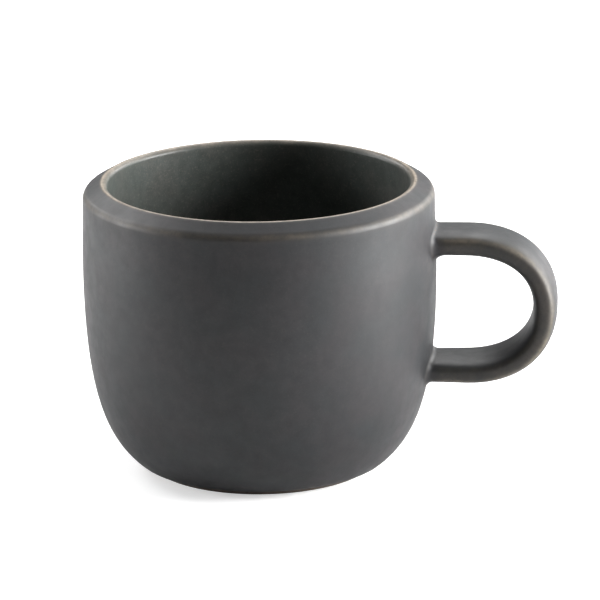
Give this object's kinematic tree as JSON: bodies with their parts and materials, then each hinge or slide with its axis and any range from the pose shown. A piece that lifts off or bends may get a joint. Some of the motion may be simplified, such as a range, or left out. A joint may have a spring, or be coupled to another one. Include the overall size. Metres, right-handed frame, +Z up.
{
  "type": "ceramic mug",
  "caption": "Round-bottomed stoneware mug with a bevelled rim, a flat strap handle for one or two fingers, and a charcoal satin glaze inside and out.",
  "frame": {"origin": "on the table, under the middle of the whole mug's box, cup and handle together; the cup's own axis is at X = -0.01606 m", "axes": "+Z up along the cup's axis, +X towards the handle, Y across the handle's strap; the mug is the same on both sides of the XZ plane"},
  "size_m": [0.1262, 0.094, 0.0776],
  "materials": {
    "stoneware": "matte",
    "fired_slip": "matte",
    "charcoal_glaze": "satin",
    "liner_glaze": "satin"
  },
  "bodies": {
    "root": {"cup_body": "stoneware", "handle": "stoneware", "upper_slip_joint": "fired_slip", "lower_slip_joint": "fired_slip", "exterior_glaze": "charcoal_glaze", "liner_glaze": "liner_glaze", "underside_glaze": "liner_glaze"}
  },
  "joints": []
}
